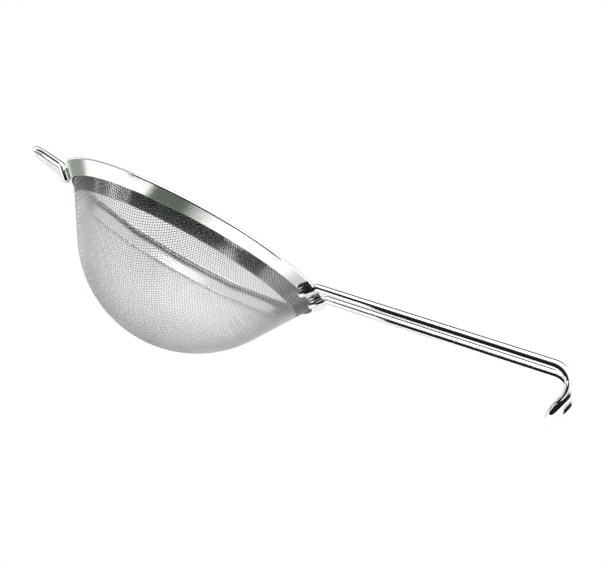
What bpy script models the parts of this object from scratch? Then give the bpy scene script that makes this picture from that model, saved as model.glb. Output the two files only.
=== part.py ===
import math

import bpy
from mathutils import Vector

# ---- driving dimensions, metres and degrees; the bowl axis is Z, the handle points along +X ----
rim_radius = 0.0404            # where the flare and the lip would meet if the fold were sharp
flare_run = 0.00384            # how far the flared outer ring runs in from there to its lower edge
skirt_drop = 0.0036            # height of the flared outer ring
band_sheet = 0.0005            # sheet thickness of the outer ring
lip_width = 0.0030             # the flat top lip, inward from the fold
lip_round = 0.0003             # outside radius of the folded top edge; it brings the rim to 40 mm

mesh_sheet = 0.0005            # depth of the woven layer
mesh_slope = 33.5              # bowl side, degrees from the bowl axis
bowl_depth = 0.0312            # top lip to the outside of the bowl's lowest point
hem_lift = 0.0003              # the crease of the mesh above the lower edge of the outer ring
hem_top_gap = 0.0003           # between the mesh edge and the lip

ring_sheet = 0.0005            # sheet thickness of the inner ring
ring_top_gap = 0.0003          # between the inner ring and the lip
flange_drop = 0.0061           # top lip to the lower edge of the inner ring

wire_radius = 0.00105          # handle and rest wire
handle_spacing = 0.0085        # between the centres of the two handle legs
handle_rise = 4.67             # degrees above the rim plane
handle_height = -0.0001        # centre of the legs above the rim plane, taken just outside the rim
handle_clear = 0.0076          # distance outside the rim where that height is taken
foot_bend = 0.0025             # centre line radius where a foot turns into its leg
handle_length = 0.0658         # from the rim to where the leg line and the hook line cross
hook_turn = 114.7              # degrees turned by the hook
hook_bend = 0.0048             # centre line radius of the hook
hook_tail = 0.0004             # straight wire after the hook, before the closing U

rest_half_width = 0.0222       # bowl axis to a rest leg's centre
rest_length = 0.0136           # from the rim to the front bar's centre
rest_corner = 0.0140           # centre line radius of the two front corners
rest_rise = 9.1                # degrees above the rim plane
rest_foot_short = 0.0010       # the rest wire stops this far above the ring's lower edge
rest_bend_spare = 0.0002       # how much wider than the wire's radius its foot bends are

layer_gap = 0.0003             # clear space between sheet layers
weld_gap = 0.0003              # clear space between a wire and the ring it is welded to

round_steps = 80
bowl_steps = 18
arc_steps = 9


def clear_scene():
    for item in list(bpy.data.objects):
        bpy.data.objects.remove(item, do_unlink=True)


def steel(name, colour, roughness):
    material = bpy.data.materials.new(name)
    material.use_nodes = True
    shader = material.node_tree.nodes["Principled BSDF"]
    shader.inputs["Base Color"].default_value = (*colour, 1.0)
    shader.inputs["Metallic"].default_value = 1.0
    shader.inputs["Roughness"].default_value = roughness
    return material


def add_object(name, data, material):
    item = bpy.data.objects.new(name, data)
    item.data.materials.append(material)
    part.objects.link(item)
    return item


def offset_line(points, distance):
    """Move an open (r, z) line sideways, to its left, with mitred corners."""
    normals = []
    for a, b in zip(points, points[1:]):
        along = (b - a).normalized()
        normals.append(Vector((-along.y, along.x)))
    moved = []
    for index, point in enumerate(points):
        before = normals[max(index - 1, 0)]
        after = normals[min(index, len(normals) - 1)]
        mitre = (before + after).normalized()
        moved.append(point + mitre * (distance / mitre.dot(before)))
    return moved


def rounded(points, radii, steps=arc_steps):
    """Replace each inner corner of a line by an arc of the given radius (2-D or 3-D points)."""
    line = [points[0].copy()]
    for before, corner, after, radius in zip(points, points[1:], points[2:], radii):
        to_before = (before - corner).normalized()
        to_after = (after - corner).normalized()
        half = to_before.angle(to_after) / 2
        if radius <= 0 or abs(half - math.pi / 2) < 1e-4:
            line.append(corner.copy())
            continue
        middle = (to_before + to_after).normalized()
        centre = corner + middle * (radius / math.sin(half))
        start = corner + to_before * (radius / math.tan(half)) - centre
        side = -to_before
        turn = math.pi - 2 * half
        for step in range(steps + 1):
            angle = turn * step / steps
            line.append(centre + start * math.cos(angle) + side * radius * math.sin(angle))
    line.append(points[-1].copy())
    return line


def revolve(name, outline, material, steps=round_steps):
    """Spin a closed (r, z) outline, or one that starts and ends on the axis, about Z."""
    mesh = bpy.data.meshes.new(name)
    vertices = [(point.x, 0.0, point.y) for point in outline]
    on_axis = outline[0].x < 1e-7 and outline[-1].x < 1e-7
    edges = [(i, i + 1) for i in range(len(vertices) - 1)]
    if not on_axis:
        edges.append((len(vertices) - 1, 0))
    mesh.from_pydata(vertices, edges, [])
    item = add_object(name, mesh, material)
    screw = item.modifiers.new("Screw", "SCREW")
    screw.steps = steps
    screw.render_steps = steps
    screw.use_merge_vertices = True
    screw.merge_threshold = 0.00001
    screw.use_normal_calculate = True
    screw.use_smooth_shade = True
    return item


def sheet_outline(line, inner_line):
    return list(line) + list(reversed(inner_line))


def wire(name, points, material):
    curve = bpy.data.curves.new(name, "CURVE")
    curve.dimensions = "3D"
    spline = curve.splines.new("POLY")
    spline.points.add(len(points) - 1)
    for target, point in zip(spline.points, points):
        target.co = (point.x, point.y, point.z, 1.0)
    curve.bevel_depth = wire_radius
    curve.bevel_resolution = 2
    curve.use_fill_caps = True
    return add_object(name, curve, material)


clear_scene()
part = bpy.data.collections.new("tea_strainer")
bpy.context.scene.collection.children.link(part)

# ---- the section of the band: the outer ring, the mesh edge and the inner ring, outside to inside ----
skirt_low = Vector((rim_radius - flare_run, -skirt_drop))
rim_edge = Vector((rim_radius, 0.0))
up_skirt = (rim_edge - skirt_low).normalized()
inward = Vector((-up_skirt.y, up_skirt.x))

lip_end = Vector((rim_radius - lip_width, 0.0))
band_outer = rounded([skirt_low, rim_edge, lip_end], [lip_round], 4)
band_inner = offset_line([skirt_low, rim_edge, lip_end], band_sheet)
rim_band = revolve("rim_band", sheet_outline(band_outer, band_inner), steel("band_steel", (0.80, 0.80, 0.79), 0.18))

# ---- the mesh: a hem between the rings, a straight side and a round bottom ----
slope = math.radians(mesh_slope)
hem_offset = band_sheet + layer_gap + mesh_sheet / 2
hem_low = skirt_low + inward * hem_offset + up_skirt * hem_lift
hem_top_height = -band_sheet - hem_top_gap - inward.y * mesh_sheet / 2
hem_top = hem_low + up_skirt * ((hem_top_height - hem_low.y) / up_skirt.y)
apex = -(bowl_depth - mesh_sheet / 2)
down_side = Vector((-math.sin(slope), -math.cos(slope)))
# the round bottom touches the side line and has its lowest point on the axis at the apex
out_of_side = Vector((math.cos(slope), -math.sin(slope)))
reach = hem_low.dot(out_of_side)
bowl_radius = (reach + apex * math.sin(slope)) / (1 - math.sin(slope))
bowl_centre = Vector((0.0, apex + bowl_radius))
middle = [hem_top, hem_low]
for step in range(bowl_steps + 1):
    angle = -slope - (math.pi / 2 - slope) * step / bowl_steps
    middle.append(bowl_centre + Vector((math.cos(angle), math.sin(angle))) * bowl_radius)
middle[-1].x = 0.0
outer_line = offset_line(middle, mesh_sheet / 2)
inner_line = offset_line(middle, -mesh_sheet / 2)
for line in (outer_line, inner_line):
    line[-1].x = 0.0
mesh_outline = list(reversed(outer_line)) + inner_line
mesh_bowl = revolve("mesh_bowl", mesh_outline, steel("mesh_steel", (0.70, 0.71, 0.70), 0.35))

# ---- the inner ring: behind the hem, then down behind the side of the bowl as a flange ----
ring_offset = hem_offset + mesh_sheet / 2 + layer_gap
ring_top_height = -band_sheet - ring_top_gap - ring_sheet
ring_start = skirt_low + inward * ring_offset
ring_top = ring_start + up_skirt * ((ring_top_height - ring_start.y) / up_skirt.y)
side_gap = mesh_sheet / 2 + layer_gap
side_start = hem_low - out_of_side * side_gap
# where the lining line meets the flange line
cross = up_skirt.x * down_side.y - up_skirt.y * down_side.x
along = ((side_start - ring_start).x * down_side.y - (side_start - ring_start).y * down_side.x) / cross
ring_crease = ring_start + up_skirt * along
flange_low = ring_crease + down_side * ((-flange_drop - ring_crease.y) / down_side.y)
ring_outer = [flange_low, ring_crease, ring_top]
ring_inner = offset_line(ring_outer, ring_sheet)
clamp_ring = revolve("clamp_ring", sheet_outline(ring_outer, ring_inner), steel("ring_steel", (0.76, 0.76, 0.75), 0.2))

# ---- the wires: their feet stand off the outer ring by the weld gap ----
stand_off = wire_radius + weld_gap
foot_low = skirt_low - inward * stand_off
foot_top = rim_edge - inward * stand_off


def at_side(point, y):
    """An (r, z) point of the band section, on the handle side, at a given y."""
    return Vector((math.sqrt(point.x ** 2 - y * y), y, point.y))


def handle_leg(y):
    low = at_side(foot_low, y)
    top = at_side(foot_top, y)
    rise = math.radians(handle_rise)
    leg_from = Vector((rim_radius + handle_clear, y, handle_height))
    leg_along = Vector((math.cos(rise), 0.0, math.sin(rise)))
    foot_along = (top - low).normalized()
    # the foot line and the leg line cross at the bend
    cross = foot_along.x * leg_along.z - foot_along.z * leg_along.x
    gap = leg_from - low
    bend = low + foot_along * ((gap.x * leg_along.z - gap.z * leg_along.x) / cross)
    bend.y = y
    hook = leg_from + leg_along * ((handle_length - handle_clear) / leg_along.x)
    turn = math.radians(handle_rise - hook_turn)
    tail_along = Vector((math.cos(turn), 0.0, math.sin(turn)))
    tail = hook_bend * math.tan(math.radians(hook_turn) / 2) + hook_tail
    tip = hook + tail_along * tail
    return rounded([low, bend, hook, tip], [foot_bend, hook_bend]), tail_along


def handle_path():
    near, along = handle_leg(-handle_spacing / 2)
    far, _ = handle_leg(handle_spacing / 2)
    centre = (near[-1] + far[-1]) / 2
    half = handle_spacing / 2
    turn = []
    for step in range(1, arc_steps):
        angle = math.pi * step / arc_steps
        turn.append(centre + Vector((0.0, -half, 0.0)) * math.cos(angle) + along * (half * math.sin(angle)))
    return near + turn + list(reversed(far))


def rest_path():
    half = rest_half_width
    rise = math.tan(math.radians(rest_rise))
    reach = rim_radius + rest_length
    foot_round = wire_radius + rest_bend_spare

    def foot(side):
        angle = math.asin(half / foot_top.x)
        def on_cone(point):
            return Vector((-point.x * math.cos(angle), side * point.x * math.sin(angle), point.y))
        return on_cone(foot_low + up_skirt * rest_foot_short), on_cone(foot_top)

    near_low, near_top = foot(-1)
    far_low, far_top = foot(1)
    front_height = near_top.z + (reach + near_top.x) * rise
    near_front = Vector((-reach, -half, front_height))
    far_front = Vector((-reach, half, front_height))
    corners = [near_low, near_top, near_front, far_front, far_top, far_low]
    return rounded(corners, [foot_round, rest_corner, rest_corner, foot_round])


wire_steel = steel("wire_steel", (0.82, 0.82, 0.81), 0.12)
handle_wire = wire("handle_wire", handle_path(), wire_steel)
rest_wire = wire("rest_wire", rest_path(), steel("rest_steel", (0.82, 0.82, 0.81), 0.12))

# ---- stand the part on the ground, its bounding box centred over the origin ----
bpy.context.view_layer.update()
graph = bpy.context.evaluated_depsgraph_get()
places = []
for item in part.objects:
    shape = item.evaluated_get(graph)
    places += [shape.matrix_world @ vertex.co for vertex in shape.to_mesh().vertices]
    shape.to_mesh_clear()
low = [min(place[axis] for place in places) for axis in range(3)]
high = [max(place[axis] for place in places) for axis in range(3)]
shift = Vector((-(low[0] + high[0]) / 2, -(low[1] + high[1]) / 2, -low[2]))
for item in part.objects:
    item.location = item.location + shift
bpy.context.view_layer.update()
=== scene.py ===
import math

import bpy
import numpy as np
from mathutils import Matrix, Vector


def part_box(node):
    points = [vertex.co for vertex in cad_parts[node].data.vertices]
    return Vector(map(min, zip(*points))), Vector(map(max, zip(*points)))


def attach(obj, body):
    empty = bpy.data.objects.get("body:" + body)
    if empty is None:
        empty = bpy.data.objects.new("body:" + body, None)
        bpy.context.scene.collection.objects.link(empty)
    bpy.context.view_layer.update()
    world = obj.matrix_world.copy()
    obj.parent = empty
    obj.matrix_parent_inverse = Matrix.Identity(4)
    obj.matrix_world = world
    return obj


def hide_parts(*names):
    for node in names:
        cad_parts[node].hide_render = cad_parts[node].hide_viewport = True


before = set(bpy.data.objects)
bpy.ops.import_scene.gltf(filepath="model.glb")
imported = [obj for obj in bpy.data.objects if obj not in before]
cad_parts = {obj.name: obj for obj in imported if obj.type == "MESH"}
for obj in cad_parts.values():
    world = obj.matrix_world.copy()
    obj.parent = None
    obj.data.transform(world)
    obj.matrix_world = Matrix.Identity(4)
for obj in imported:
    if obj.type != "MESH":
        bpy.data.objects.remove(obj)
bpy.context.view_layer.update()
print("frame loaded:", sorted(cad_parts))

bandLow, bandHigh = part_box("rim_band")
ringLow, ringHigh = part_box("clamp_ring")
bowlLow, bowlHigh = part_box("mesh_bowl")
rimCentre = Vector(((bandLow.x + bandHigh.x) / 2, (bandLow.y + bandHigh.y) / 2, bandHigh.z))
rimRadius = (bandHigh.x - bandLow.x) / 2
skirtDrop = bandHigh.z - bandLow.z
flangeDrop = bandHigh.z - ringLow.z
bowlDepth = bandHigh.z - bowlLow.z
shape = bpy.context.scene.collection


def addPiece(name, points, faces, material, slot, stands=None):
    mesh = bpy.data.meshes.new(name)
    mesh.from_pydata([tuple(p) for p in points], [], [tuple(f) for f in faces])
    mesh.polygons.foreach_set("use_smooth", [True] * len(mesh.polygons))
    mesh.materials.append(material)
    mesh.update()
    piece = bpy.data.objects.new(name, mesh)
    shape.objects.link(piece)
    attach(piece, "root")
    if stands:
        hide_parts(*stands)
    print("made", name, len(mesh.polygons), "faces")
    return piece


def offsetLine(points, distance):
    # moves an open line in the section sideways, to its left
    normals = []
    for a, b in zip(points, points[1:]):
        along = (b - a).normalized()
        normals.append(Vector((-along.y, along.x)))
    moved = []
    for index, point in enumerate(points):
        before, after = normals[max(index - 1, 0)], normals[min(index, len(normals) - 1)]
        mitre = (before + after).normalized()
        moved.append(point + mitre * (distance / mitre.dot(before)))
    return moved


def arcAt(before, corner, after, radius, steps):
    # the points of a round corner between two straight lines
    toBefore, toAfter = (before - corner).normalized(), (after - corner).normalized()
    half = toBefore.angle(toAfter) / 2
    if radius <= 0 or abs(half - math.pi / 2) < 1e-4:
        return [corner.copy()]
    centre = corner + (toBefore + toAfter).normalized() * (radius / math.sin(half))
    start = corner + toBefore * (radius / math.tan(half)) - centre
    turn = math.pi - 2 * half
    return [centre + start * math.cos(turn * k / steps) - toBefore * radius * math.sin(turn * k / steps)
            for k in range(steps + 1)]


def roundedLine(points, radii, steps):
    line = [points[0].copy()]
    for before, corner, after, radius in zip(points, points[1:], points[2:], radii):
        line += arcAt(before, corner, after, radius, steps)
    return line + [points[-1].copy()]


def roundedLoop(points, radii, steps):
    line = []
    for index, corner in enumerate(points):
        line += arcAt(points[index - 1], corner, points[(index + 1) % len(points)], radii[index], steps)
    return line


def spinLoop(outlineAt, steps, sway, turns):
    # spins a closed section about the bowl's axis; sway is the slight unevenness of pressed sheet
    points, faces = [], []
    for k in range(steps):
        angle = 2 * math.pi * k / steps
        outline = outlineAt(angle)
        count = len(outline)
        extra = sway * (math.sin(turns * angle) + 0.5 * math.sin((2 * turns + 1) * angle + 1.3))
        for p in outline:
            radius = p.x + extra
            points.append((rimCentre.x + radius * math.cos(angle), rimCentre.y + radius * math.sin(angle),
                           rimCentre.z + p.y))
        nextRing = (k + 1) % steps
        for i in range(count):
            j = (i + 1) % count
            faces.append((k * count + i, nextRing * count + i, nextRing * count + j, k * count + j))
    return points, faces


def keepFlats(piece):
    # the broad faces hold their own normals beside the small round edges
    weighted = piece.modifiers.new("Flat sheet", "WEIGHTED_NORMAL")
    weighted.weight = 100
    weighted.keep_sharp = False
    return piece


def spinFrames(path):
    # carries one sideways direction along a path without twist
    tangents = []
    for index in range(len(path)):
        a, b = path[max(index - 1, 0)], path[min(index + 1, len(path) - 1)]
        tangents.append((b - a).normalized())
    side = tangents[0].orthogonal().normalized()
    frames = []
    for index, tangent in enumerate(tangents):
        if index:
            side = tangents[index - 1].rotation_difference(tangent) @ side
        side = (side - tangent * side.dot(tangent)).normalized()
        frames.append((side, tangent.cross(side)))
    return frames


def roundBar(path, radius, sides, dome):
    # a wire of round section with softly domed ends
    path = [p.copy() for p in path]
    start, end = (path[0] - path[1]).normalized(), (path[-1] - path[-2]).normalized()
    widths = [radius] * len(path)
    head, tail, headWidths, tailWidths = [], [], [], []
    for k in range(1, 5):
        turn = math.pi / 2 * k / 4.3
        head.insert(0, path[0] + start * dome * math.sin(turn))
        headWidths.insert(0, radius * math.cos(turn))
        tail.append(path[-1] + end * dome * math.sin(turn))
        tailWidths.append(radius * math.cos(turn))
    frames = spinFrames(head + path + tail)
    path, widths = head + path + tail, headWidths + widths + tailWidths
    points, faces = [], []
    for centre, width, (side, up) in zip(path, widths, frames):
        for k in range(sides):
            angle = 2 * math.pi * k / sides
            points.append(centre + (side * math.cos(angle) + up * math.sin(angle)) * width)
    for i in range(len(path) - 1):
        for k in range(sides):
            m = (k + 1) % sides
            faces.append((i * sides + k, i * sides + m, (i + 1) * sides + m, (i + 1) * sides + k))
    faces.append(tuple(reversed(range(sides))))
    faces.append(tuple(range((len(path) - 1) * sides, len(path) * sides)))
    return points, faces


def newGroup(name, inputs, outputs):
    group = bpy.data.node_groups.new(name, "ShaderNodeTree")
    for socketName, kind, value in inputs:
        socket = group.interface.new_socket(name=socketName, in_out="INPUT", socket_type=kind)
        socket.default_value = value
    for socketName, kind in outputs:
        group.interface.new_socket(name=socketName, in_out="OUTPUT", socket_type=kind)
    entry = group.nodes.new("NodeGroupInput")
    leave = group.nodes.new("NodeGroupOutput")
    return group, entry, leave


def addMath(tree, operation, a, b=None, c=None):
    node = tree.nodes.new("ShaderNodeMath")
    node.operation = operation
    for index, value in enumerate((a, b, c)):
        if value is None:
            continue
        if isinstance(value, (int, float)):
            node.inputs[index].default_value = value
        else:
            tree.links.new(value, node.inputs[index])
    return node.outputs[0]


def addNoise(tree, vector, scale, detail, roughness=0.55):
    node = tree.nodes.new("ShaderNodeTexNoise")
    node.inputs["Detail"].default_value = detail
    node.inputs["Roughness"].default_value = roughness
    if isinstance(scale, (int, float)):
        node.inputs["Scale"].default_value = scale
    else:
        tree.links.new(scale, node.inputs["Scale"])
    tree.links.new(vector, node.inputs["Vector"])
    return node.outputs["Fac"]


def addMix(tree, factor, a, b):
    node = tree.nodes.new("ShaderNodeMix")
    node.data_type = "RGBA"
    for socket, value in ((node.inputs[0], factor), (node.inputs[6], a), (node.inputs[7], b)):
        if isinstance(value, bpy.types.NodeSocket):
            tree.links.new(value, socket)
        else:
            socket.default_value = value
    return node.outputs[2]


def addRange(tree, value, low, high, newLow, newHigh):
    node = tree.nodes.new("ShaderNodeMapRange")
    node.inputs[1].default_value, node.inputs[2].default_value = low, high
    node.inputs[3].default_value, node.inputs[4].default_value = newLow, newHigh
    tree.links.new(value, node.inputs[0])
    return node.outputs[0]


def makeBrushGroup():
    # fine lines that run round the bowl's axis, as a polishing wheel leaves them
    group, entry, leave = newGroup("round brushing", [("Fineness", "NodeSocketFloat", 1.0),
                                                      ("Depth", "NodeSocketFloat", 1.0)],
                                   [("Height", "NodeSocketFloat"), ("Lines", "NodeSocketFloat")])
    where = group.nodes.new("ShaderNodeTexCoord")
    centred = group.nodes.new("ShaderNodeVectorMath")
    centred.operation = "SUBTRACT"
    centred.inputs[1].default_value = rimCentre
    group.links.new(where.outputs["Object"], centred.inputs[0])
    split = group.nodes.new("ShaderNodeSeparateXYZ")
    group.links.new(centred.outputs[0], split.inputs[0])
    x, y, z = split.outputs
    angle = addMath(group, "ARCTAN2", y, x)
    radius = addMath(group, "SQRT", addMath(group, "ADD", addMath(group, "MULTIPLY", x, x),
                                             addMath(group, "MULTIPLY", y, y)))
    lines = group.nodes.new("ShaderNodeCombineXYZ")
    group.links.new(addMath(group, "MULTIPLY", angle, 0.5), lines.inputs[0])
    fine = addMath(group, "MULTIPLY", entry.outputs["Fineness"], 9000.0)
    group.links.new(addMath(group, "MULTIPLY", radius, fine), lines.inputs[1])
    group.links.new(addMath(group, "MULTIPLY", z, fine), lines.inputs[2])
    coarse = addNoise(group, lines.outputs[0], 0.45, 2.0)
    thin = addNoise(group, lines.outputs[0], 1.9, 3.0)
    both = addMath(group, "MULTIPLY_ADD", coarse, 0.6, addMath(group, "MULTIPLY", thin, 0.4))
    group.links.new(both, leave.inputs["Lines"])
    group.links.new(addMath(group, "MULTIPLY", both, entry.outputs["Depth"]), leave.inputs["Height"])
    return group


def makeWearGroup():
    # soft handling marks, a few pits and tiny hair scratches
    group, entry, leave = newGroup("handling wear", [("Scale", "NodeSocketFloat", 90.0)],
                                   [("Smudge", "NodeSocketFloat"), ("Scratch", "NodeSocketFloat"),
                                    ("Pits", "NodeSocketFloat")])
    where = group.nodes.new("ShaderNodeTexCoord")
    place = where.outputs["Object"]
    smudge = addNoise(group, place, entry.outputs["Scale"], 4.0)
    group.links.new(addRange(group, smudge, 0.35, 0.68, 0.0, 1.0), leave.inputs["Smudge"])
    stretched = group.nodes.new("ShaderNodeVectorMath")
    stretched.operation = "MULTIPLY"
    stretched.inputs[1].default_value = (1.0, 9.0, 7.0)
    group.links.new(place, stretched.inputs[0])
    hair = addNoise(group, stretched.outputs[0], addMath(group, "MULTIPLY", entry.outputs["Scale"], 6.0), 2.0)
    group.links.new(addRange(group, hair, 0.66, 0.72, 0.0, 1.0), leave.inputs["Scratch"])
    pits = group.nodes.new("ShaderNodeTexVoronoi")
    group.links.new(place, pits.inputs["Vector"])
    group.links.new(addMath(group, "MULTIPLY", entry.outputs["Scale"], 8.0), pits.inputs["Scale"])
    group.links.new(addRange(group, pits.outputs["Distance"], 0.04, 0.12, 1.0, 0.0), leave.inputs["Pits"])
    return group


brushGroup = makeBrushGroup()
wearGroup = makeWearGroup()


def addShadeBand(tree, base, look):
    # painted shade: darkens the wires that lie over the inner ring; chosen for the look
    where = tree.nodes.new("ShaderNodeTexCoord")
    split = tree.nodes.new("ShaderNodeSeparateXYZ")
    tree.links.new(where.outputs["Object"], split.inputs[0])
    over = addRange(tree, split.outputs[2], *look["paintedShadeFrom"], 0.0, 1.0)
    return addMix(tree, addMath(tree, "MULTIPLY", over, look["paintedShadeAmount"]), base, look["paintedShadeColour"])


def makeSteel(name, look):
    # polished or brushed stainless steel; look holds its colours, gloss and how much grain shows
    material = bpy.data.materials.new(name)
    material.use_nodes = True
    tree = material.node_tree
    shader = tree.nodes["Principled BSDF"]
    shader.inputs["Metallic"].default_value = 1.0
    wear = tree.nodes.new("ShaderNodeGroup")
    wear.node_tree = wearGroup
    wear.inputs["Scale"].default_value = look["wearScale"]
    brush = tree.nodes.new("ShaderNodeGroup")
    brush.node_tree = brushGroup
    brush.inputs["Fineness"].default_value = look["fineness"]
    brush.inputs["Depth"].default_value = 1.0
    base = addMix(tree, wear.outputs["Smudge"], look["light"], look["dark"])
    lines = addRange(tree, brush.outputs["Lines"], 0.35, 0.65, 0.0, 1.0)
    base = addMix(tree, addMath(tree, "MULTIPLY", lines, look["lineShade"]), base, look["lineColour"])
    base = addMix(tree, addMath(tree, "MULTIPLY", wear.outputs["Pits"], 0.12), base, look["pitColour"])
    # painted shade on the wires over the inner ring
    if "paintedShadeAmount" in look:
        base = addShadeBand(tree, base, look)
    tree.links.new(base, shader.inputs["Base Color"])
    rough = addMath(tree, "MULTIPLY_ADD", wear.outputs["Smudge"], look["smudgeRough"], look["rough"])
    rough = addMath(tree, "MULTIPLY_ADD", lines, look["lineRough"], rough)
    rough = addMath(tree, "MULTIPLY_ADD", wear.outputs["Scratch"], 0.02, rough)
    tree.links.new(rough, shader.inputs["Roughness"])
    bump = tree.nodes.new("ShaderNodeBump")
    bump.inputs["Strength"].default_value = look["bump"]
    bump.inputs["Distance"].default_value = 0.00002
    height = addMath(tree, "SUBTRACT", brush.outputs["Height"],
                     addMath(tree, "MULTIPLY", wear.outputs["Scratch"], 0.5))
    tree.links.new(height, bump.inputs["Height"])
    tree.links.new(bump.outputs["Normal"], shader.inputs["Normal"])
    return material


# the outer band with its flat lip
bandValues = {
    "sheet": 0.0005,          # thickness
    "flareRun": 0.00384,      # how far the flared side runs in
    "lipWidth": 0.0030,       # from the fold to the inner edge
    "foldExtra": 0.0004,      # the sharp corner stands this far outside the rounded rim
    "foldRadius": 0.00042,
    "shallow": 0.00088,
    "edgeRadius": 0.00017,
    "steps": 288,
    "sway": 0.000012,
    "waves": 3,
    "light": (0.90, 0.905, 0.89, 1.0),
    "dark": (0.83, 0.835, 0.82, 1.0),
    "lineColour": (0.75, 0.76, 0.74, 1.0),
    "pitColour": (0.45, 0.45, 0.44, 1.0),
    "lineShade": 0.16,
    "wearScale": 60.0,
    "fineness": 1.0,
    "rough": 0.12,
    "smudgeRough": 0.04,
    "lineRough": 0.04,
    "bump": 0.2,
}
skirtLow = Vector((rimRadius + bandValues["foldExtra"] - bandValues["flareRun"], -skirtDrop))
rimEdge = Vector((rimRadius + bandValues["foldExtra"], 0.0))
lipEnd = Vector((rimEdge.x - bandValues["lipWidth"], 0.0))
upSkirt = (rimEdge - skirtLow).normalized()
inward = Vector((-upSkirt.y, upSkirt.x))


def skirtEnd(angle):
    # the band is pressed a little shallower on the handle's side
    return skirtLow + upSkirt * bandValues["shallow"] * (0.5 + 0.5 * math.cos(angle)) ** 1.5


def bandOutline(angle):
    line = [skirtEnd(angle), rimEdge, lipEnd]
    edge = bandValues["edgeRadius"]
    return roundedLoop(line + list(reversed(offsetLine(line, bandValues["sheet"]))),
                       [edge, bandValues["foldRadius"], edge, edge, 0.0001, edge], 4)


bandSteel = makeSteel("band steel", bandValues)
keepFlats(addPiece("rim_band_sheet",
                   *spinLoop(bandOutline, bandValues["steps"], bandValues["sway"], bandValues["waves"]),
                   bandSteel, "band_steel", ["rim_band"]))
print("band made")

# the inner ring, behind the edge of the mesh
ringValues = {
    "sheet": 0.0005,
    "layerGap": 0.0003,       # clear space between the layers
    "meshSheet": 0.0005,      # room for the woven layer
    "topGap": 0.0003,
    "hemLift": 0.0003,
    "slope": 33.5,            # side of the bowl, degrees from its axis
    "crease": 0.014,          # how softly the ring bends from its hem to its flange
    "edgeRadius": 0.00017,
    "steps": 288,
    "sway": 0.000012,
    "waves": 4,
    "light": (0.80, 0.81, 0.795, 1.0),
    "dark": (0.71, 0.72, 0.705, 1.0),
    "lineColour": (0.60, 0.61, 0.595, 1.0),
    "pitColour": (0.40, 0.40, 0.39, 1.0),
    "lineShade": 0.3,
    "wearScale": 70.0,
    "fineness": 0.8,
    "rough": 0.12,
    "smudgeRough": 0.04,
    "lineRough": 0.04,
    "bump": 0.25,
}
slope = math.radians(ringValues["slope"])
hemOffset = bandValues["sheet"] + ringValues["layerGap"] + ringValues["meshSheet"] / 2
hemLow = skirtLow + inward * hemOffset + upSkirt * ringValues["hemLift"]
downSide = Vector((-math.sin(slope), -math.cos(slope)))
outOfSide = Vector((math.cos(slope), -math.sin(slope)))
ringStart = skirtLow + inward * (hemOffset + ringValues["meshSheet"] / 2 + ringValues["layerGap"])
ringTopHeight = -bandValues["sheet"] - ringValues["topGap"] - ringValues["sheet"]
ringTop = ringStart + upSkirt * ((ringTopHeight - ringStart.y) / upSkirt.y)
sideStart = hemLow - outOfSide * (ringValues["meshSheet"] / 2 + ringValues["layerGap"])
crossing = upSkirt.x * downSide.y - upSkirt.y * downSide.x
gapLine = sideStart - ringStart
ringCrease = ringStart + upSkirt * ((gapLine.x * downSide.y - gapLine.y * downSide.x) / crossing)
flangeLow = ringCrease + downSide * ((-flangeDrop - ringCrease.y) / downSide.y)
ringLine = [flangeLow, ringCrease, ringTop]
ringInside = offsetLine(ringLine, ringValues["sheet"])
ringEdge, crease = ringValues["edgeRadius"], ringValues["crease"]
ringOutline = roundedLoop(ringLine + list(reversed(ringInside)),
                          [ringEdge, crease, ringEdge, ringEdge, crease + ringValues["sheet"], ringEdge], 6)
ringSteel = makeSteel("ring steel", ringValues)
ringShape = spinLoop(lambda angle: ringOutline, ringValues["steps"], ringValues["sway"], ringValues["waves"])
keepFlats(addPiece("clamp_ring_sheet", *ringShape, ringSteel, "ring_steel", ["clamp_ring"]))
print("ring made")

# the woven bowl
meshValues = {
    "pitch": 0.00066,         # wire to wire
    "wire": 0.000158,          # diameter of the fine wire
    "turn": 0.0,              # degrees between the weave and the handle
    "hem": 0.0020,            # length held between the band and the ring
    # painted shade on the wires over the inner ring: the heights where it starts, how strong it is, and its
    # colour
    "paintedShadeFrom": (rimCentre.z - flangeDrop - 0.0002, rimCentre.z - flangeDrop + 0.0002),
    "paintedShadeAmount": 0.7,
    "paintedShadeColour": (0.16, 0.17, 0.16, 1.0),
    "sides": 5,
    "light": (0.655, 0.675, 0.65, 1.0),
    "dark": (0.53, 0.555, 0.54, 1.0),
    "lineColour": (0.62, 0.605, 0.60, 1.0),
    "pitColour": (0.45, 0.45, 0.44, 1.0),
    "lineShade": 0.3,
    "wearScale": 55.0,
    "fineness": 0.5,
    "rough": 0.27,
    "smudgeRough": 0.1,
    "lineRough": 0.05,
    "bump": 0.2,
}
apex = -(bowlDepth - ringValues["meshSheet"] / 2)
bowlRadius = (hemLow.dot(outOfSide) + apex * math.sin(slope)) / (1 - math.sin(slope))
bowlCentre = apex + bowlRadius
touchRadius = bowlRadius * math.cos(slope)
touchHeight = bowlCentre - bowlRadius * math.sin(slope)


def bowlHeight(radius):
    roundPart = bowlCentre - np.sqrt(np.maximum(bowlRadius ** 2 - np.minimum(radius, touchRadius) ** 2, 0))
    return np.where(radius < touchRadius, roundPart, touchHeight + (radius - touchRadius) / math.tan(slope))


def bowlRise(radius):
    inner = np.minimum(radius, touchRadius)
    return np.where(radius < touchRadius, inner / np.sqrt(bowlRadius ** 2 - inner ** 2), 1 / math.tan(slope))


def meridianPoint(length):
    # a point on the section at a given length from the lowest point
    turn = math.pi / 2 - slope
    if length < bowlRadius * turn:
        return bowlRadius * math.sin(length / bowlRadius)
    return touchRadius + (length - bowlRadius * turn) * math.sin(slope)


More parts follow.
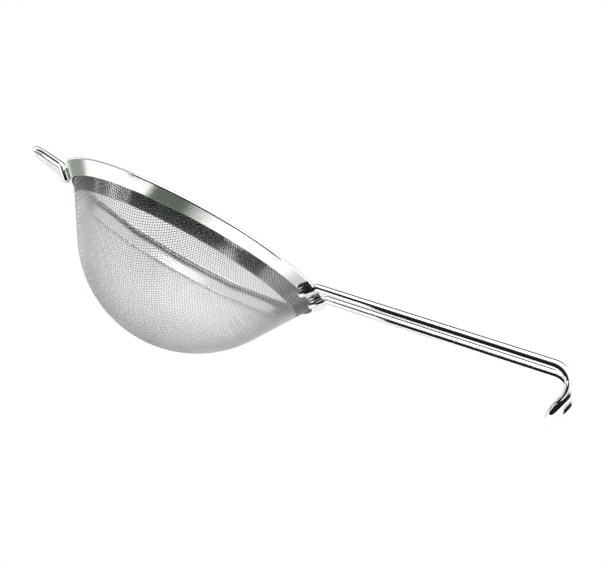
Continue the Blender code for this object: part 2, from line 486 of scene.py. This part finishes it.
def weaveNet(pitch):
    # square cloth laid on the bowl: every cell keeps its four sides, and shears where it has to
    sideLength = (hemLow.x - touchRadius) / math.sin(slope)
    count = int((bowlRadius * (math.pi / 2 - slope) + sideLength + meshValues["hem"]) / pitch) + 3
    net = np.zeros((count, count, 3))
    for k in range(count):
        radius = meridianPoint(k * pitch)
        net[k, 0] = (radius, 0, bowlHeight(radius))
        net[0, k] = (0, radius, bowlHeight(radius))
    for k in range(2, 2 * count - 1):
        i = np.arange(max(1, k - count + 1), min(k, count))
        j = k - i
        a, b, c = net[i - 1, j], net[i, j - 1], net[i - 1, j - 1]
        place = (a + b - c)[:, :2]
        for _ in range(7):
            radius = np.maximum(np.hypot(place[:, 0], place[:, 1]), 1e-9)
            height = bowlHeight(radius)
            rise = (bowlRise(radius) / radius)[:, None] * place
            toA = np.column_stack([place, height]) - a
            toB = np.column_stack([place, height]) - b
            errA = (toA ** 2).sum(1) - pitch ** 2
            errB = (toB ** 2).sum(1) - pitch ** 2
            gradA = 2 * (toA[:, :2] + toA[:, 2:] * rise)
            gradB = 2 * (toB[:, :2] + toB[:, 2:] * rise)
            det = gradA[:, 0] * gradB[:, 1] - gradA[:, 1] * gradB[:, 0]
            place[:, 0] -= (errA * gradB[:, 1] - errB * gradA[:, 1]) / det
            place[:, 1] -= (errB * gradA[:, 0] - errA * gradB[:, 0]) / det
        net[i, j, :2] = place
        net[i, j, 2] = bowlHeight(np.hypot(place[:, 0], place[:, 1]))
    full = np.zeros((2 * count - 1, 2 * count - 1, 3))
    index = np.abs(np.arange(-(count - 1), count))
    sign = np.sign(np.arange(-(count - 1), count))
    full[:] = net[np.ix_(index, index)]
    full[:, :, 0] *= sign[:, None]
    full[:, :, 1] *= sign[None, :]
    return full


def clothPlace(points):
    # follows the bowl to the crease under the band and then up between the band and the ring
    radius = np.maximum(np.hypot(points[:, 0], points[:, 1]), 1e-9)
    spare = (radius - hemLow.x) / math.sin(slope)
    beyond = spare > 0
    newRadius = np.where(beyond, hemLow.x + spare * upSkirt.x, radius)
    height = np.where(beyond, hemLow.y + spare * upSkirt.y, points[:, 2])
    rise = bowlRise(radius)
    out = np.where(beyond, upSkirt.y, rise / np.sqrt(1 + rise ** 2))
    down = np.where(beyond, -upSkirt.x, -1 / np.sqrt(1 + rise ** 2))
    unit = points[:, :2] / radius[:, None]
    place = np.column_stack([unit * newRadius[:, None], height])
    return place, np.column_stack([unit * out[:, None], down]), spare < meshValues["hem"]


def weaveWires(net, across):
    # every wire of one direction, passing over and under the wires of the other
    half, sides = meshValues["wire"] / 2, meshValues["sides"]
    turn = math.radians(meshValues["turn"])
    spin = np.array([[math.cos(turn), -math.sin(turn), 0], [math.sin(turn), math.cos(turn), 0], [0, 0, 1]])
    ring = 2 * math.pi * (np.arange(sides) + 0.5) / sides
    points, faces, start = [], [], 0
    size = net.shape[0]
    for wire in range(size):
        line = net[wire] if across else net[:, wire]
        place, normal, kept = clothPlace(line)
        kept = np.flatnonzero(kept)
        if len(kept) < 4:
            continue
        kept = np.arange(kept[0], kept[-1] + 1)
        wave = np.where((kept + wire) % 2 == 0, 1.0, -1.0) * (-1.0 if across else 1.0)
        centre = place[kept] + normal[kept] * (wave * half)[:, None]
        along = np.gradient(centre, axis=0)
        along /= np.linalg.norm(along, axis=1)[:, None]
        side = np.cross(normal[kept], along)
        side /= np.linalg.norm(side, axis=1)[:, None]
        up = np.cross(along, side)
        tube = (centre[:, None] + half * (np.cos(ring)[None, :, None] * side[:, None]
                                          + np.sin(ring)[None, :, None] * up[:, None]))
        points.append(tube.reshape(-1, 3))
        rows = start + np.arange(len(kept) - 1)[:, None] * sides
        k = np.arange(sides)[None, :]
        m = (np.arange(sides) + 1)[None, :] % sides
        faces.append(np.stack([rows + k, rows + m, rows + sides + m, rows + sides + k], -1).reshape(-1, 4))
        start += len(kept) * sides
    points = np.vstack(points) @ spin.T + np.array(rimCentre)
    return points.tolist(), np.vstack(faces).tolist()


meshSteel = makeSteel("woven steel wire", meshValues)
net = weaveNet(meshValues["pitch"])
print("weave net", net.shape)
addPiece("mesh_warp", *weaveWires(net, False), meshSteel, "mesh_steel", ["mesh_bowl"])
addPiece("mesh_weft", *weaveWires(net, True), meshSteel, "mesh_steel", ["mesh_bowl"])

# the handle and the rest, bent from one thickness of wire
wireValues = {
    "radius": 0.00105,
    "press": 0.0001,          # how deep the feet are pressed against the band
    "spacing": 0.0085,        # between the two legs
    "rise": 4.67,             # degrees above the rim
    "height": -0.0001,
    "clear": 0.0076,
    "length": 0.0658,
    "turn": 114.7,            # degrees of the hook
    "footBend": 0.0025,
    "hookBend": 0.0048,
    "tail": 0.0004,
    "sides": 28,
    "dome": 0.0006,
    "even": 0.002,            # longest stretch between two rings of points
    "bendSteps": 20,
    "loopSteps": 24,
    "light": (0.90, 0.905, 0.90, 1.0),
    "dark": (0.83, 0.835, 0.825, 1.0),
    "lineColour": (0.76, 0.765, 0.755, 1.0),
    "pitColour": (0.5, 0.5, 0.49, 1.0),
    "lineShade": 0.12,
    "wearScale": 80.0,
    "fineness": 0.3,
    "rough": 0.07,
    "smudgeRough": 0.05,
    "lineRough": 0.02,
    "bump": 0.08,
}
restValues = {
    "halfWidth": 0.0222,
    "length": 0.0136,
    "corner": 0.0140,
    "rise": 9.1,
    "footShort": 0.0010,
    "bendSpare": 0.0002,
}
standOff = wireValues["radius"] - wireValues["press"]
footLow = skirtLow - inward * standOff
footTop = rimEdge - inward * standOff


def handleLeg(y):
    foot = footLow + upSkirt * bandValues["shallow"]
    low = Vector((math.sqrt(foot.x ** 2 - y * y), y, foot.y))
    top = Vector((math.sqrt(footTop.x ** 2 - y * y), y, footTop.y))
    rise = math.radians(wireValues["rise"])
    legFrom = Vector((rimEdge.x + wireValues["clear"], y, wireValues["height"]))
    legAlong = Vector((math.cos(rise), 0.0, math.sin(rise)))
    footAlong = (top - low).normalized()
    turned = footAlong.x * legAlong.z - footAlong.z * legAlong.x
    gap = legFrom - low
    bend = low + footAlong * ((gap.x * legAlong.z - gap.z * legAlong.x) / turned)
    bend.y = y
    hook = legFrom + legAlong * ((wireValues["length"] - wireValues["clear"]) / legAlong.x)
    turn = math.radians(wireValues["rise"] - wireValues["turn"])
    tailAlong = Vector((math.cos(turn), 0.0, math.sin(turn)))
    tip = hook + tailAlong * (wireValues["hookBend"] * math.tan(math.radians(wireValues["turn"]) / 2)
                              + wireValues["tail"])
    bends = [wireValues["footBend"], wireValues["hookBend"]]
    return roundedLine([low, bend, hook, tip], bends, wireValues["bendSteps"]), tailAlong


def handlePath():
    half = wireValues["spacing"] / 2
    near, along = handleLeg(-half)
    far, _ = handleLeg(half)
    centre = (near[-1] + far[-1]) / 2
    turns = [math.pi * k / wireValues["loopSteps"] for k in range(1, wireValues["loopSteps"])]
    loop = [centre - Vector((0.0, half, 0.0)) * math.cos(turn) + along * half * math.sin(turn)
            for turn in turns]
    return near + loop + list(reversed(far))


def restPath():
    half, rise = restValues["halfWidth"], math.tan(math.radians(restValues["rise"]))
    reach = rimEdge.x + restValues["length"]
    foot = wireValues["radius"] + restValues["bendSpare"]
    angle = math.asin(half / footTop.x)

    def onBand(point, side):
        return Vector((-point.x * math.cos(angle), side * point.x * math.sin(angle), point.y))

    low = footLow + upSkirt * restValues["footShort"]
    nearLow, nearTop = onBand(low, -1), onBand(footTop, -1)
    farLow, farTop = onBand(low, 1), onBand(footTop, 1)
    height = nearTop.z + (reach + nearTop.x) * rise
    outer = [Vector((-reach, side * half, height)) for side in (-1, 1)]
    corners = [nearLow, nearTop, *outer, farTop, farLow]
    bends = [foot, restValues["corner"], restValues["corner"], foot]
    return roundedLine(corners, bends, wireValues["bendSteps"])


def evenPath(path, spacing):
    # closes up the long straight stretches so that the finish has points to hold on to
    line = [path[0]]
    for a, b in zip(path, path[1:]):
        pieces = max(1, int((b - a).length / spacing))
        line += [a.lerp(b, (k + 1) / pieces) for k in range(pieces)]
    return [rimCentre + p for p in line]


wireSteel = makeSteel("handle wire steel", wireValues)
restSteel = makeSteel("rest wire steel", wireValues)
barShape = (wireValues["radius"], wireValues["sides"], wireValues["dome"])
addPiece("handle_bar", *roundBar(evenPath(handlePath(), wireValues["even"]), *barShape),
         wireSteel, "wire_steel", ["handle_wire"])
addPiece("rest_bar", *roundBar(evenPath(restPath(), wireValues["even"]), *barShape),
         restSteel, "rest_steel", ["rest_wire"])
print("handle and rest made")

# floor, sky, softbox and the cards that the steel reflects
stageValues = {
    "floorSize": 3.0,
    "floorColour": (0.86, 0.86, 0.85, 1.0),
    "floorShade": (0.82, 0.82, 0.815, 1.0),
    "sky": 1.12,
    "backdrop": 1.0,
    "key": 8.5,
    "keyAhead": 0.36,
    "keyHeight": 0.60,
    "keySize": (1.7, 0.5),
}


def hideCard(name, mesh, colour, solid=None):
    # makes a dark card that only the polished steel sees; solid is its mask, where its edges are soft
    card = bpy.data.objects.new(name, mesh)
    shape.objects.link(card)
    material = bpy.data.materials.new(name)
    material.use_nodes = True
    tree = material.node_tree
    tree.nodes.remove(tree.nodes["Principled BSDF"])
    glow = tree.nodes.new("ShaderNodeEmission")
    glow.inputs["Color"].default_value = colour
    leave = tree.nodes["Material Output"].inputs["Surface"]
    tree.links.new(glow.outputs[0], leave)
    if solid:
        clear = tree.nodes.new("ShaderNodeBsdfTransparent")
        either = tree.nodes.new("ShaderNodeMixShader")
        tree.links.new(solid(tree), either.inputs[0])
        tree.links.new(clear.outputs[0], either.inputs[1])
        tree.links.new(glow.outputs[0], either.inputs[2])
        tree.links.new(either.outputs[0], leave)
    mesh.materials.append(material)
    for ray in ("camera", "diffuse", "shadow", "transmission", "volume_scatter"):
        setattr(card, "visible_" + ray, False)
    return card


def addCard(name, centre, wide, tall, feathers, colour):
    # wide and tall run from the card's middle to its edges; feathers soften its left, right and other edges
    mesh = bpy.data.meshes.new(name)
    mesh.from_pydata([(-1, -1, 0), (1, -1, 0), (1, 1, 0), (-1, 1, 0)], [], [(0, 1, 2, 3)])
    wide, tall = Vector(wide), Vector(tall)

    def softEdges(tree):
        where = tree.nodes.new("ShaderNodeTexCoord")
        split = tree.nodes.new("ShaderNodeSeparateXYZ")
        tree.links.new(where.outputs["Object"], split.inputs[0])
        left, right, rest = [min(f / length, 1.0) for f, length in
                             zip(feathers, (wide.length, wide.length, tall.length))]
        side = addMath(tree, "MULTIPLY", addRange(tree, split.outputs[0], -1.0, left - 1.0, 0.0, 1.0),
                       addRange(tree, split.outputs[0], 1.0 - right, 1.0, 1.0, 0.0))
        ends = addRange(tree, addMath(tree, "ABSOLUTE", split.outputs[1]), 1.0 - rest, 1.0, 1.0, 0.0)
        return addMath(tree, "MULTIPLY", side, ends)

    card = hideCard(name, mesh, colour, softEdges)
    place = Matrix((wide, tall, wide.cross(tall).normalized())).transposed().to_4x4()
    place.translation = Vector(centre)
    card.matrix_world = place
    return card


def makeFloor():
    half = stageValues["floorSize"] / 2
    mesh = bpy.data.meshes.new("floor")
    corners = [(-half, -half, 0), (half, -half, 0), (half, half, 0), (-half, half, 0)]
    mesh.from_pydata(corners, [], [(0, 1, 2, 3)])
    floor = bpy.data.objects.new("floor", mesh)
    shape.objects.link(floor)
    material = bpy.data.materials.new("pale floor")
    material.use_nodes = True
    tree = material.node_tree
    shader = tree.nodes["Principled BSDF"]
    shader.inputs["Roughness"].default_value = 0.6
    where = tree.nodes.new("ShaderNodeTexCoord")
    patch = addNoise(tree, where.outputs["Object"], 9.0, 5.0)
    tree.links.new(addMix(tree, patch, stageValues["floorColour"], stageValues["floorShade"]),
                   shader.inputs["Base Color"])
    under = tree.nodes.new("ShaderNodeBsdfTransparent")
    sides = tree.nodes.new("ShaderNodeNewGeometry")
    either = tree.nodes.new("ShaderNodeMixShader")
    tree.links.new(sides.outputs["Backfacing"], either.inputs[0])
    tree.links.new(shader.outputs[0], either.inputs[1])
    tree.links.new(under.outputs[0], either.inputs[2])
    tree.links.new(either.outputs[0], tree.nodes["Material Output"].inputs["Surface"])
    mesh.materials.append(material)
    return floor


def makeWorld():
    # an even pale sky; the steel also sees a dim panel behind, a dark wall at the left
    # and a dark strip low in front
    world = bpy.data.worlds.new("studio")
    bpy.context.scene.world = world
    world.use_nodes = True
    tree = world.node_tree
    where = tree.nodes.new("ShaderNodeTexCoord")
    ahead, sideways, height = [tree.nodes.new("ShaderNodeVectorMath") for _ in range(3)]
    for node, axis in ((ahead, front), (sideways, aside), (height, upward)):
        node.operation = "DOT_PRODUCT"
        node.inputs[1].default_value = axis
        tree.links.new(where.outputs["Generated"], node.inputs[0])
    ahead, sideways, height = [node.outputs["Value"] for node in (ahead, sideways, height)]
    slant = addMath(tree, "MULTIPLY_ADD", addMath(tree, "ABSOLUTE", sideways), skyValues["panelSlant"], ahead)
    panel = addMath(tree, "MULTIPLY", addRange(tree, slant, *skyValues["panelEdge"], 1.0, 0.0),
                    addRange(tree, height, *skyValues["panelFoot"], 0.0, 1.0))
    panel = addMath(tree, "MULTIPLY", panel,
                    addRange(tree, addMath(tree, "ABSOLUTE", sideways), *skyValues["panelSide"], 1.0, 0.0))
    wall = addMath(tree, "MULTIPLY", addRange(tree, sideways, *skyValues["wallEdge"], 1.0, 0.0),
                   addRange(tree, height, *skyValues["wallTop"], 1.0, 0.0))
    strip = addMath(tree, "MULTIPLY", addRange(tree, ahead, *skyValues["stripEdge"], 0.0, 1.0),
                    addRange(tree, height, *skyValues["stripTop"], 1.0, 0.0))
    colour = addMix(tree, panel, skyValues["sky"], skyValues["panel"])
    colour = addMix(tree, wall, colour, skyValues["wall"])
    colour = addMix(tree, strip, colour, skyValues["wall"])
    light = tree.nodes["Background"]
    tree.links.new(colour, light.inputs["Color"])
    light.inputs["Strength"].default_value = stageValues["sky"]
    plain = tree.nodes.new("ShaderNodeBackground")
    plain.inputs["Color"].default_value = (1.0, 1.0, 1.0, 1.0)
    plain.inputs["Strength"].default_value = stageValues["backdrop"]
    path = tree.nodes.new("ShaderNodeLightPath")
    either = tree.nodes.new("ShaderNodeMixShader")
    tree.links.new(path.outputs["Is Camera Ray"], either.inputs[0])
    tree.links.new(light.outputs[0], either.inputs[1])
    tree.links.new(plain.outputs[0], either.inputs[2])
    tree.links.new(either.outputs[0], tree.nodes["World Output"].inputs["Surface"])


def addSoftLight(name, place, target, wide, deep, power):
    light = bpy.data.lights.new(name, "AREA")
    light.shape = "RECTANGLE"
    light.size, light.size_y = wide, deep
    light.energy = power
    lamp = bpy.data.objects.new(name, light)
    lamp.location = place
    lamp.rotation_euler = (Vector(target) - Vector(place)).to_track_quat("-Z", "Y").to_euler()
    shape.objects.link(lamp)
    return lamp


front, aside, upward = Vector((0.559, -0.829, 0)), Vector((0.829, 0.559, 0)), Vector((0, 0, 1))
skyValues = {
    "sky": (1.0, 1.0, 0.995, 1.0),
    "panel": (0.06, 0.068, 0.06, 1.0),
    "wall": (0.02, 0.022, 0.02, 1.0),
    "panelSlant": 0.6,
    "panelEdge": (0.13, 0.2),
    "panelSide": (0.42, 0.47),
    "panelFoot": (0.08, 0.16),
    "wallEdge": (-0.86, -0.78),
    "wallTop": (0.5, 0.62),
    "stripEdge": (0.74, 0.84),
    "stripTop": (0.16, 0.26),
}
makeFloor()
makeWorld()
ground = Vector((rimCentre.x, rimCentre.y, 0.0))


def addDarkFloor():
    # a dark sheet on the floor in front, cut round the bowl and along the handle,
    # and turned up at its far edge
    points, faces = [], []
    columns, lift, reach = 40, cardValues["lift"], cardValues["reach"]
    for k in range(columns + 1):
        angle = math.radians(cardValues["from"] + (cardValues["to"] - cardValues["from"]) * k / columns)
        out = front * math.cos(angle) + aside * math.sin(angle)
        degrees = math.degrees(angle)
        inner = cardValues["cut"] + cardValues["cutWiden"] * (degrees / cardValues["widenOver"]) ** 2
        beside = abs(degrees - cardValues["openAt"]) / cardValues["openWide"]
        inner += cardValues["cutOpen"] * max(1 - beside, 0.0)
        for radius, height in ((inner, lift), (reach, lift), (reach, cardValues["turnUp"])):
            place = ground + out * radius + upward * height
            if k == columns:
                place.y = cardValues["handleEdge"]
            points.append(place)
        if k:
            row = 3 * (k - 1)
            faces += [(row, row + 1, row + 4, row + 3), (row + 1, row + 2, row + 5, row + 4)]
    mesh = bpy.data.meshes.new("card_front_floor")
    mesh.from_pydata([tuple(p) for p in points], [], faces)
    return hideCard("card_front_floor", mesh, cardValues["black"])


cardValues = {
    "black": (0.012, 0.016, 0.013, 1.0),
    "grey": (0.125, 0.148, 0.127, 1.0),
    "pale": (0.30, 0.335, 0.30, 1.0),
    "light": (0.70, 0.72, 0.70, 1.0),
    "cut": 0.047,             # the dark floor sheet starts this far from the bowl's axis
    "cutWiden": 0.008,
    "widenOver": 75,
    "cutOpen": 0.006,         # further out beside the handle
    "openAt": 24,
    "openWide": 12,
    "from": -58,              # degrees round the bowl, from straight in front
    "to": 56,
    "lift": 0.001,
    "reach": 0.35,
    "turnUp": 0.065,
    "handleEdge": -0.012,
}
addDarkFloor()
addCard("card_under_band", ground + front * 0.037 - aside * 0.0135 + upward * 0.002,
        aside * 0.0175, front * 0.012, (0.003, 0.016, 0.003), cardValues["grey"])
addCard("card_back_left", ground - front * 0.150 - aside * 0.115 + upward * 0.001,
        aside * 0.060, front * 0.126, (0.006, 0.006, 0.006), cardValues["pale"])
addCard("card_right", (0.018, 0.036, 0.0015), (0.026, 0, 0), (0, 0.028, 0), (0.01, 0.01, 0.01),
        cardValues["light"])
keyPlace = ground + front * stageValues["keyAhead"] + upward * stageValues["keyHeight"]
addSoftLight("key softbox", keyPlace, rimCentre, *stageValues["keySize"], stageValues["key"])
bpy.context.scene.view_settings.view_transform = "Standard"

cameraValues = {
    "place": (0.1005, -0.18688, -0.01004),
    "aim": (-0.01503, 0.02963, 0.03769),
    "roll": 28.53,
    "lens": 49.4,
    "shift": (0.05, -0.021),
}


def makeCamera():
    data = bpy.data.cameras.new("camera")
    data.lens = cameraValues["lens"]
    data.sensor_width = 36.0
    data.shift_x, data.shift_y = cameraValues["shift"]
    data.clip_start = 0.01
    camera = bpy.data.objects.new("camera", data)
    place, aim = Vector(cameraValues["place"]), Vector(cameraValues["aim"])
    forward = (aim - place).normalized()
    right = forward.cross(Vector((0, 0, 1))).normalized()
    up = right.cross(forward)
    turn = math.radians(cameraValues["roll"])
    newRight = right * math.cos(turn) + up * math.sin(turn)
    newUp = up * math.cos(turn) - right * math.sin(turn)
    camera.matrix_world = Matrix((newRight, newUp, -forward)).transposed().to_4x4()
    camera.location = place
    shape.objects.link(camera)
    bpy.context.scene.camera = camera


makeCamera()
print("stage and camera ready")
